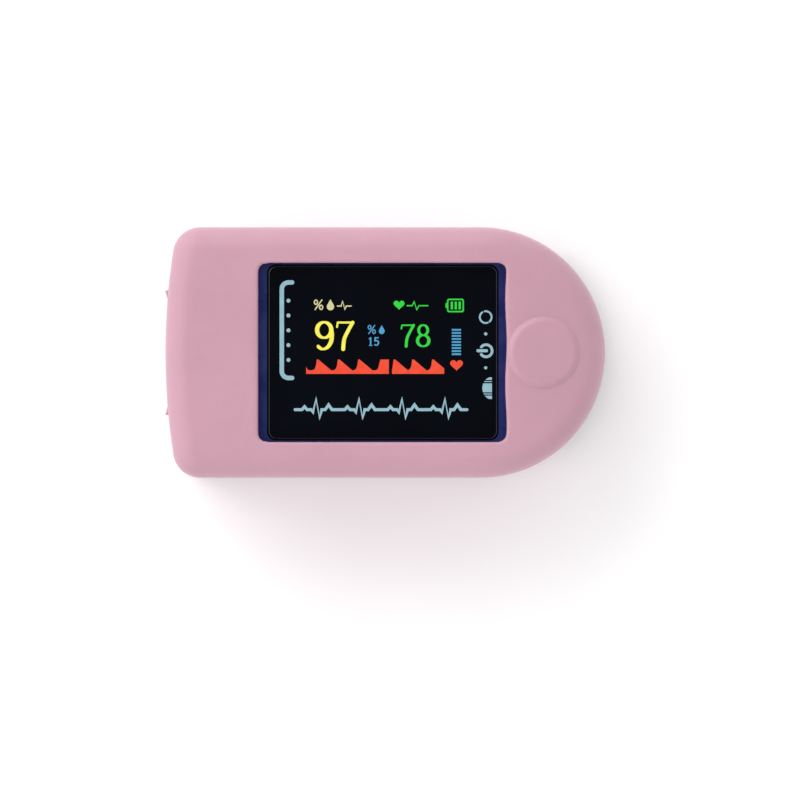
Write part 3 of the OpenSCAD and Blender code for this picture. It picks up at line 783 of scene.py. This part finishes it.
def ribbon(points, widths):
    """A stroke of varying width, mitred at its corners, with half-round ends unless it is a closed loop."""
    pts = [np.asarray(p, float) for p in points]
    widths = [widths] * len(pts) if np.isscalar(widths) else widths
    closed = np.linalg.norm(pts[0] - pts[-1]) < 1e-6
    if closed:
        pts, widths = pts[:-1], widths[:-1]
    count = len(pts)
    verts, faces = [], []
    for l, r in zip(*stroke_sides(pts, widths, closed)):
        verts += [(*l, GRAPHIC_LOW), (*r, GRAPHIC_LOW), (*l, GRAPHIC_HIGH), (*r, GRAPHIC_HIGH)]
    for i in range(count if closed else count - 1):
        a, b = i * 4, (i + 1) % count * 4
        faces += [(a + 2, a + 3, b + 3, b + 2), (a, b, b + 1, a + 1)]
        faces += [(a, a + 2, b + 2, b), (a + 1, b + 1, b + 3, a + 3)]
    if not closed:
        last = 4 * (count - 1)
        half_round(verts, faces, pts[0], unit(pts[0] - pts[1]), 0, 1)
        half_round(verts, faces, pts[-1], unit(pts[-1] - pts[-2]), last + 1, last)
    return verts, faces


def arc_points(cx, cy, rx, ry, start, end, steps=20):
    return [(cx + rx * math.cos(math.radians(a)), cy + ry * math.sin(math.radians(a)))
            for a in np.linspace(start, end, steps)]


LABEL_STROKE = 0.17


def circle_points(cx, cy, r, steps):
    return arc_points(cx, cy, r, r, 0, 360, steps + 1)[:-1]


def pen(points, thin, thick):
    """Widths of a broad pen: thick where a stroke runs down, thin where it runs across."""
    pts = [np.asarray(p, float) for p in points]
    widths = []
    for i in range(len(pts)):
        t = pts[min(i + 1, len(pts) - 1)] - pts[max(i - 1, 0)]
        widths.append(thin + (thick - thin) * abs(t[1]) / max(np.linalg.norm(t), 1e-9))
    return widths


def digit_strokes(digit):
    """Strokes of a numeral in a box one wide and two high, as (points, share of the pen's full width)."""
    if digit == "9":
        bowl = arc_points(0.49, 1.36, 0.38, 0.52, 0, 360, 40)
        tail = smooth_path([(0.87, 1.36), (0.90, 1.0), (0.85, 0.56), (0.66, 0.2),
                            (0.40, 0.08), (0.19, 0.22)], 8)
        return [(bowl, 1.0), (tail, 1.0), ([(0.17, 0.27), (0.2, 0.22)], 0.75)]
    if digit == "7":
        return [([(0.09, 1.56), (0.13, 1.86)], 0.45), ([(0.13, 1.86), (0.5, 1.86), (0.93, 1.86)], 0.8),
                (smooth_path([(0.93, 1.86), (0.68, 1.3), (0.48, 0.75), (0.42, 0.08)], 8), 0.9)]
    if digit == "8":
        return [(arc_points(0.5, 1.44, 0.31, 0.43, 0, 360, 36), 0.85),
                (arc_points(0.5, 0.55, 0.39, 0.47, 0, 360, 36), 1.0)]
    if digit == "1":
        return [([(0.5, 1.85), (0.5, 0.12)], 1.0), ([(0.28, 1.6), (0.5, 1.85)], 1.0),
                ([(0.28, 0.12), (0.72, 0.12)], 1.0)]
    if digit == "5":
        curve = smooth_path([(0.22, 1.1), (0.5, 1.22), (0.82, 0.95), (0.82, 0.5),
                             (0.52, 0.14), (0.16, 0.28)], 8)
        return [([(0.82, 1.84), (0.24, 1.84)], 1.0), ([(0.24, 1.84), (0.22, 1.1)], 1.0), (curve, 1.0)]
    raise ValueError(digit)


def write_digits(shape, text, x0, x1, y0, y1, thin, thick):
    """Adds a number that fills a box, drawn with a pen of two widths."""
    advance = (x1 - x0) / len(text)
    for i, digit in enumerate(text):
        for stroke, share in digit_strokes(digit):
            placed = [(x0 + advance * (i + 0.04 + 0.92 * px), y0 + (y1 - y0) * py / 2) for px, py in stroke]
            shape.add(*ribbon(placed, pen(placed, thin * min(1.0, share + 0.2), thick * share)))


def percent_sign(shape, x, y, size, stroke):
    shape.add(*ribbon([(x + 0.08 * size, y + 0.05 * size), (x + 0.72 * size, y + 0.95 * size)], stroke))
    for cx, cy in ((0.16, 0.74), (0.64, 0.26)):
        ring = arc_points(x + cx * size, y + cy * size, 0.15 * size, 0.2 * size, 0, 360, 20)
        shape.add(*ribbon(ring, stroke))


def droplet(shape, cx, y0, height):
    r = height * 0.33
    points = arc_points(cx, y0 + r, r, r, 150, 390, 22) + [(cx, y0 + height)]
    shape.add(*flat_shape(points))


def heart(shape, cx, cy, width):
    """The classic heart curve, widened a little."""
    points = []
    for a in np.linspace(0, 360, 40)[:-1]:
        t = math.radians(a)
        rise = 13 * math.cos(t) - 5 * math.cos(2 * t) - 2 * math.cos(3 * t) - math.cos(4 * t)
        points.append((cx + width / 34 * 16 * math.sin(t) ** 3 * 1.06, cy + width / 34 * rise))
    shape.add(*flat_shape(points[::-1]))


def box_points(x0, x1, y0, y1):
    return [(x0, y0), (x1, y0), (x1, y1), (x0, y1)]


def show(shape, name, material):
    """Puts a graphic on the lens, to ride with the upper half."""
    piece = shape.piece(name, material, smooth=False)
    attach(piece, "upper")


def pulse_wave(first, peaks, last):
    """A filled run of pulse beats: each rises steeply to its peak and falls back along a slope."""
    foot, low, top = -2.9, -2.42, -0.95
    fall_run = 1.85
    line = [(first, low + (0.5 if first < peaks[0] - 1 else 0))]
    if first < peaks[0] - 1:
        line += [(first + 0.18, low + 0.12), (first + 0.42, low)]
    for peak in peaks:
        for dx, dy in ((-0.62, 0.02), (-0.35, 0.25), (-0.2, 0.7), (-0.1, 1.47)):
            if peak + dx > line[-1][0] + 0.02:
                line.append((peak + dx, low + dy))
        end_x = min(peak + fall_run, last)
        line += [(peak + 0.12, top), (end_x, top + (low - top) * (end_x - peak - 0.12) / (fall_run - 0.12))]
    if last - peaks[-1] > 3:
        line += [(last - 1.7, low + 0.02), (last - 1.45, low + 0.3), (last - 1.3, low + 0.9)]
        line += [(last - 1.15, top), (last, top)]
    line[-1] = (last, line[-1][1])
    return [(first, foot), (last, foot)] + line[::-1]


def oxygen_reading():
    digits = Shape()
    write_digits(digits, "97", -9.5, -4.0, 0.3, 4.35, 0.28, 0.58)
    show(digits, "screen_oxygen_digits", lit_yellow)
    label = Shape()
    percent_sign(label, -9.5, 5.75, 1.45, LABEL_STROKE)
    droplet(label, -7.3, 5.72, 1.5)
    label.add(*ribbon([(-6.35, 6.3), (-5.85, 6.3), (-5.65, 6.95), (-5.35, 5.85), (-5.15, 6.3), (-4.5, 6.3)],
                      LABEL_STROKE))
    show(label, "screen_oxygen_label", lit_pale)


def pulse_reading():
    digits = Shape()
    write_digits(digits, "78", 2.05, 6.35, 0.72, 3.92, 0.21, 0.44)
    heart(digits, 2.0, 6.5, 1.5)
    digits.add(*ribbon([(3.1, 6.35), (3.8, 6.35), (4.05, 6.9), (4.4, 5.8), (4.7, 6.35), (5.9, 6.35)],
                       LABEL_STROKE))
    show(digits, "screen_pulse_digits", lit_green)


def battery_icon():
    icon = Shape()
    outline = rounded_outline(8.6, 10.7, 5.55, 7.2, 0.2, 3)
    icon.add(*ribbon(outline + outline[:1], 0.2))
    for x in (9.0, 9.53, 10.06):
        icon.add(*flat_shape(box_points(x, x + 0.32, 5.85, 6.9)))
    icon.add(*flat_shape(box_points(8.3, 8.52, 6.05, 6.7)))
    show(icon, "screen_battery_icon", lit_green)


def small_readings():
    blue = Shape()
    percent_sign(blue, -2.2, 2.5, 1.25, 0.15)
    droplet(blue, -0.35, 2.5, 1.2)
    write_digits(blue, "15", -2.25, -0.65, 0.9, 2.1, 0.15, 0.2)
    for i in range(9):
        y = -0.35 + 0.413 * i
        blue.add(*flat_shape(box_points(9.15, 10.4, y, y + 0.24)))
    show(blue, "screen_small_readings", lit_blue)


def pulse_trace():
    red = Shape()
    heart(red, 9.8, -1.65, 1.75)
    for first, peaks, last in ((-10.6, (-9.05, -6.2, -3.45), 0.62), (1.05, (1.36, 3.88, 6.58), 8.12)):
        red.add(*flat_shape(pulse_wave(first, peaks, last)))
    show(red, "screen_pulse_wave", lit_red)


def bracket_and_dots(mark):
    """The long bracket beside the display, and its column of dots."""
    x0, x1, y0, y1, r = -13.9, -12.5, -3.45, 9.5, 0.9
    bracket = ([(x1, y1)] + arc_points(x0 + r, y1 - r, r, r, 90, 180, 10)
               + arc_points(x0 + r, y0 + r, r, r, 180, 270, 10) + [(x1, y0)])
    mark.add(*ribbon(bracket, 0.6))
    for i in range(5):
        mark.add(*flat_shape(circle_points(-13.0, 7.03 - 2.01 * i, 0.27, 20)))


def signs_by_button(mark):
    """An open ring, dots, a power sign and a sliced half disc, on the button's side of the display."""
    for start, end in ((-50, 100), (125, 290)):
        mark.add(*ribbon(arc_points(13.75, 4.8, 0.8, 0.8, start, end, 18), 0.24))
    for y in (2.53, -2.07):
        mark.add(*flat_shape(circle_points(13.75, y, 0.22, 16)))
    px, py, ring_r = 13.8, 0.24, 0.82
    mark.add(*ribbon(arc_points(px, py, ring_r, ring_r, -142, 142, 26), 0.36))
    mark.add(*ribbon([(px - 1.1, py), (px + 0.05, py)], 0.42))
    flat_x, centre_y, depth, half_h = 14.6, -4.84, 1.3, 1.52
    for top_y, low_y in ((-3.37, -3.72), (-3.88, -4.0), (-4.18, -5.4), (-5.56, -5.7), (-5.85, -6.3)):
        bulge = []
        for y in np.linspace(top_y, low_y, 9):
            reach = math.sqrt(max(0.0, 1 - ((y - centre_y) / half_h) ** 2))
            bulge.append((flat_x - depth * reach, y))
        mark.add(*flat_shape([(flat_x, low_y), (flat_x, top_y)] + bulge))


def printed_trace(mark):
    """A run of heart beats in one line."""
    beats, left, right, level = 4, -12.1, 11.2, -7.75
    step = (right - left) / beats
    trace = []
    for i in range(beats):
        x = left + step * i
        for dx, dy in ((0, 0), (0.16, 0), (0.22, 0.4), (0.28, 0), (0.38, 0), (0.42, -0.35),
                       (0.49, 1.45), (0.57, -1.1), (0.62, 0), (0.70, 0), (0.78, 0.65), (0.86, 0)):
            trace.append((x + step * dx, level + dy))
    trace.append((right, level))
    mark.add(*ribbon(trace, 0.4))


def printed_graphics():
    mark = Shape()
    bracket_and_dots(mark)
    signs_by_button(mark)
    printed_trace(mark)
    show(mark, "lens_printed_marks", lens_print)


oxygen_reading()
pulse_reading()
battery_icon()
small_readings()
pulse_trace()
printed_graphics()


# ---------- finger pads ----------

def finger_pad(upper):
    """A moulded trough with shallow cross ribs, a rolled mouth and an end wall."""
    x_from, x_to = finger_low[0], finger_high[0]
    wall, outer_r, turns = 1.1, FINGER_R + 1.12, 64
    rib_h, rib_pitch, roll, roll_run, step = 0.10, 2.4, 0.45, 0.8, 0.3
    plain_x, plain_reach, plain_half = -7.0, 3.35 + 1.0, 2.65 + 1.0
    span_in = math.acos((TROUGH_Z - LOW_EDGE) / FINGER_R)
    span_out = math.acos((TROUGH_Z - LOW_EDGE) / outer_r)

    def place(x, r, a):
        z = min(TROUGH_Z - r * math.cos(a), LOW_EDGE)
        return x, r * math.sin(a), MIRROR_Z - z if upper else z

    def outside(x):
        return [place(x, outer_r, (1 - 2 * k / turns) * span_out) for k in range(turns + 1)]

    verts = []
    xs = [*np.arange(x_from, x_to - wall, step), x_to - wall]
    for x in xs:
        rib = rib_h * max(0.0, math.cos((x - x_from) * 2 * math.pi / rib_pitch)) ** 2
        mouth = max(0.0, 1 - (x - x_from) / roll_run)
        for k in range(turns + 1):
            s = -1 + 2 * k / turns
            r = FINGER_R + roll * mouth**2
            by_window = abs(x - plain_x) < plain_reach and abs(FINGER_R * math.sin(s * span_in)) < plain_half
            if not by_window:
                r -= rib * (1 - abs(s) ** 6)
            verts.append(place(x, r, s * span_in))
        verts += outside(x)
    size = 2 * (turns + 1)
    faces = quads(len(xs), size) + [tuple(range(size))]
    last, base = (len(xs) - 1) * size, len(verts)
    verts += outside(x_to)
    faces.append(tuple(last + k for k in range(turns + 1))[::-1])
    for k in range(turns):
        faces.append((last + turns + 1 + k, base + k, base + k + 1, last + turns + 2 + k))
    faces.append(tuple(base + k for k in range(turns + 1))[::-1])
    faces.append((last, base + turns, base, last + turns)[::-1])
    return verts, faces


for half in ("upper", "lower"):
    pad = mesh_piece(f"finger_liner_{half}", *finger_pad(half == "upper"), materials["finger_pad_rubber"])
    sharp_shading(pad, 50)
    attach(pad, half)
    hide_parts(f"{half}_finger_pad")


# ---------- springs, ribbon and wires by the hinge --------------------

SPRING_WIRE_R = 0.35
WIRE_R = 0.45


def torsion_spring(side):
    """A coil round the hinge with two straight legs, on one side of the jaw."""
    leg_angle, leg_l, coil_r, pitch, coil_y = math.radians(25), 6.1, 2.1, 0.85, 8.8
    start = math.pi / 2 + leg_angle
    sweep = 6 * math.pi + 2 * math.pi - 2 * start
    steps = 150
    width = pitch * sweep / (2 * math.pi)
    centre = np.array([HINGE_X, 0, HINGE_Z])
    coil = []
    for i in range(steps + 1):
        s = i / steps
        a = start + sweep * s
        coil.append(centre + np.array([coil_r * math.cos(a), coil_y - width * (1 - s), coil_r * math.sin(a)]))
    up = np.array([math.cos(leg_angle), 0, math.sin(leg_angle)])
    down = up * np.array([1, 1, -1])
    upper_leg = [coil[0] + up * leg_l * (1 - k / 8) for k in range(8)]
    lower_leg = [coil[-1] + down * leg_l * (k / 8) for k in range(1, 9)]
    return tube([p * np.array([1, side, 1]) for p in upper_leg + coil + lower_leg], SPRING_WIRE_R)


def bending_piece(name, verts, faces, slot_name, node, low_z, high_z):
    """A piece that stands for a CAD node, left where it is made and held to neither half."""
    piece = mesh_piece(name, verts, faces, materials[slot_name])
    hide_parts(node)
    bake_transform(piece)
    return piece


for side, word in ((1, "left"), (-1, "right")):
    bending_piece(f"spring_wire_{word}", *torsion_spring(side), "spring_steel", f"torsion_spring_{word}",
                  HINGE_Z - 2.2, HINGE_Z + 2.2)

RIBBON_ROUTE = [(-4, 13.35), (-1.5, 12.85), (3, 12.85), (9, 12.85), (12, 13.6), (13.2, 16.5),
                (13.4, 19.8), (13, 23), (12.8, 25.6), (13.6, 27.1), (14.8, 27.4)]
WIRE_ROUTE = [(22.4, 4.2, 12.7), (22.5, 4.2, 14.4), (21.6, 4.1, 15.9), (18.5, 3.9, 15.9), (15, 3.7, 15.9),
              (12.6, 3.6, 17.2), (11.8, 3.5, 19.8), (12.6, 3.4, 22.4), (14.6, 3.6, 24.6), (16.1, 3.8, 26),
              (16.4, 3.9, 27), (16.4, 3.9, 27.9)]


def flex_strip(route, width, thick):
    """A flat strip along a route in the plane y = 0."""
    path = [np.array(p) for p in smooth_path(route, 8)]
    verts = []
    for i, p in enumerate(path):
        t = path[min(i + 1, len(path) - 1)] - path[max(i - 1, 0)]
        n = np.array([-t[1], t[0]]) / np.linalg.norm(t) * thick / 2
        for y, q in ((-width / 2, p - n), (width / 2, p - n), (width / 2, p + n), (-width / 2, p + n)):
            verts.append((q[0], y, q[1]))
    return verts, quads(len(path), 4) + [(3, 2, 1, 0), tuple(4 * (len(path) - 1) + k for k in range(4))]


ribbon_piece = bending_piece("sensor_flex", *flex_strip(RIBBON_ROUTE, 4.0, 0.2), "polyimide", "sensor_ribbon",
                             15.0, 24.5)
sharp_shading(ribbon_piece)
for side, word in ((1, "red"), (-1, "black")):
    route = [np.array(p) * np.array([1, side, 1]) for p in smooth_path(WIRE_ROUTE, 8)]
    bending_piece(f"power_lead_{word}", *tube(route, WIRE_R), f"wire_{word}", f"battery_wire_{word}",
                  16.2, 24.5)


# ---------- screws ----------

def crossed_screw(x, y, seat, down, head_r, head_h, shank_r, shank_l):
    """A pan-head screw with a cross recess and a ridged shank; down is -1 when its head is on top."""
    turns = 40
    outline = []
    for a in (18, 34, 50, 66, 80, 90):
        turn = math.radians(a)
        outline.append((head_r * math.sin(turn) ** 0.6, head_h * (0.55 + 0.45 * math.cos(turn))))
    top_r, top_h = outline[0]
    outline += [(head_r, 0.0), (shank_r, 0.0)]
    ridges = int(shank_l / 0.5)
    for i in range(ridges):
        outline.append((shank_r * 0.82, -(i + 0.25) * shank_l / ridges))
        outline.append((shank_r, -(i + 0.6) * shank_l / ridges))
    outline.append((shank_r * 0.55, -shank_l))
    verts = []
    for r, h in outline:
        for k in range(turns):
            a = 2 * math.pi * k / turns
            verts.append((x + r * math.cos(a), y + r * math.sin(a), seat - down * h))
    rows = len(outline)
    faces = quads(rows, turns) + [tuple((rows - 1) * turns + k for k in range(turns))]
    # the top face is cut by a cross-shaped recess
    c, l, cross_d = 0.16 * head_r * 2 / 2, min(0.62 * head_r, top_r * 0.96), 0.45
    arms = [(l, c), (c, c), (c, l), (-c, l), (-c, c), (-l, c)]
    arms += [(-px, -py) for px, py in arms]
    base, n = len(verts), len(arms)
    verts += [(x + px, y + py, seat - down * top_h) for px, py in arms]
    verts += [(x + px * 0.8, y + py * 0.8, seat - down * (top_h - cross_d)) for px, py in arms]
    faces += [(base + k, base + (k + 1) % n, base + n + (k + 1) % n, base + n + k) for k in range(n)]
    faces.append(tuple(base + n + k for k in range(n)))
    turn_of = [math.atan2(py, px) % (2 * math.pi) / (2 * math.pi) for px, py in arms]
    ring_at = [round(share * turns) % turns for share in turn_of]
    for k in range(n):
        a, b = ring_at[k], ring_at[(k + 1) % n]
        run = [(a + s) % turns for s in range((b - a) % turns + 1)]
        faces.append(tuple([base + k] + run + [base + (k + 1) % n]))
    return verts, faces


def screw_set(name, node, body, places, seats, down, shank_l=5.0):
    """Screws of one size in one piece; each place has its own seat height."""
    head_r, head_h, shank_r = 1.6, 1.0, 0.85
    shape = Shape()
    for (x, y), seat in zip(places, seats):
        shape.add(*crossed_screw(x, y, seat, down, head_r, head_h, shank_r, shank_l))
    piece = shape.piece(name, materials["screw_steel"])
    sharp_shading(piece, 40)
    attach(piece, body)
    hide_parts(node)


CASE_SCREWS = [(-20.0, 12.6), (-20.0, -12.6), (23.5, 6.6), (23.5, -6.6)]
LOWER_SEATS = [LOW_EDGE - 1.2] * 2 + [15.1] * 2
screw_set("case_screws_lower", "lower_case_screws", "lower", CASE_SCREWS, LOWER_SEATS, -1)
screw_set("case_screws_upper", "upper_case_screws", "upper", CASE_SCREWS,
          [MIRROR_Z - z for z in LOWER_SEATS], 1)
screw_set("circuit_screws", "board_screws", "upper", [(-23.0, 8.5), (-23.0, -8.5)], [28.0] * 2, 1, 3.2)


# ---------- soft edges on the rigid CAD pieces ----------

SOFT_EDGES = {
    0.06: ("main_board",),
    0.08: ("tact_switch", "processor_chip", "amplifier_chip", "ribbon_connector"),
    0.10: ("display_bracket", "crystal"),
    0.12: ("button_cap",),
    0.15: ("battery_door", "upper_tray", "lower_tray", "hinge_pin"),
    0.18: ("upper_housing", "lower_housing"),
    0.20: ("power_inductor",),
    0.25: ("battery_cell_left", "battery_cell_right"),
}
for width, names in SOFT_EDGES.items():
    for name in names:
        bevel(frame["nodes"][name], width, 2, 50)


# ---------- floor, light and camera ----------

WORLD_LEVEL, WORLD_LEAN, WORLD_SIDE = 1.3, 0.75, (-0.62, 0.42, 0.0)
LAMPS = (("key_light", (-0.45, 0.5, 0.6), 0.8, 3.2), ("fill_light", (0.1, -0.7, 0.4), 0.6, 1.2))


def paper_floor():
    mesh = bpy.data.meshes.new("floor")
    half = 3.0
    corners = [(-half, -half, 0), (half, -half, 0), (half, half, 0), (-half, half, 0)]
    mesh.from_pydata(corners, [], [(0, 1, 2, 3)])
    floor = bpy.data.objects.new("floor", mesh)
    bpy.context.scene.collection.objects.link(floor)
    floor_mat, net, shader, coords = new_material("floor_paper")
    tint = ramp(net, noise(net, coords, 30.0), [(0.3, (0.90,) * 3), (0.7, (0.92,) * 3)])
    net.links.new(tint, shader.inputs["Base Color"])
    shader.inputs["Roughness"].default_value = 0.9
    mesh.materials.append(floor_mat)


def world_light():
    """White surroundings, brighter on one side, with a dark gap overhead that keeps the gloss lens black."""
    world = bpy.data.worlds.new("studio")
    world.use_nodes = True
    bpy.context.scene.world = world
    net = world.node_tree
    background = net.nodes["Background"]
    background.inputs["Color"].default_value = (1.0, 1.0, 1.0, 1)
    sky = net.nodes.new("ShaderNodeTexCoord").outputs["Generated"]
    lean = net.nodes.new("ShaderNodeVectorMath")
    lean.operation = "DOT_PRODUCT"
    lean.inputs[1].default_value = WORLD_SIDE
    net.links.new(sky, lean.inputs[0])
    level = combine(net, "MULTIPLY_ADD", lean.outputs["Value"], WORLD_LEAN, WORLD_LEVEL)
    split = net.nodes.new("ShaderNodeSeparateXYZ")
    net.links.new(sky, split.inputs[0])
    gap = map_range(net, split.outputs["Z"], 0.90, 0.97, 1.0, 0.02)
    gap.node.interpolation_type = "SMOOTHSTEP"
    net.links.new(combine(net, "MULTIPLY", level, gap), background.inputs["Strength"])


def lamps():
    target = Vector((0, 0, 0.02))
    for name, place, size, power in LAMPS:
        data = bpy.data.lights.new(name, "AREA")
        data.size = size
        data.energy = power
        lamp = bpy.data.objects.new(name, data)
        lamp.location = place
        lamp.rotation_euler = (target - Vector(place)).to_track_quat("-Z", "Y").to_euler()
        bpy.context.scene.collection.objects.link(lamp)


def photo_camera():
    """Straight down, long lens, with the object up and left of the picture's middle."""
    view_width, distance, aim = 108.4 * MM, 2.0, (2.13 * MM, -6.44 * MM)
    data = bpy.data.cameras.new("camera")
    data.sensor_width = 36.0
    data.lens = data.sensor_width * distance / view_width
    data.clip_start = 0.01
    camera = bpy.data.objects.new("camera", data)
    camera.location = (aim[0], aim[1], TOP_Z * MM + distance)
    bpy.context.scene.collection.objects.link(camera)
    bpy.context.scene.camera = camera


paper_floor()
world_light()
lamps()
bpy.context.scene.view_settings.view_transform = "Standard"
photo_camera()
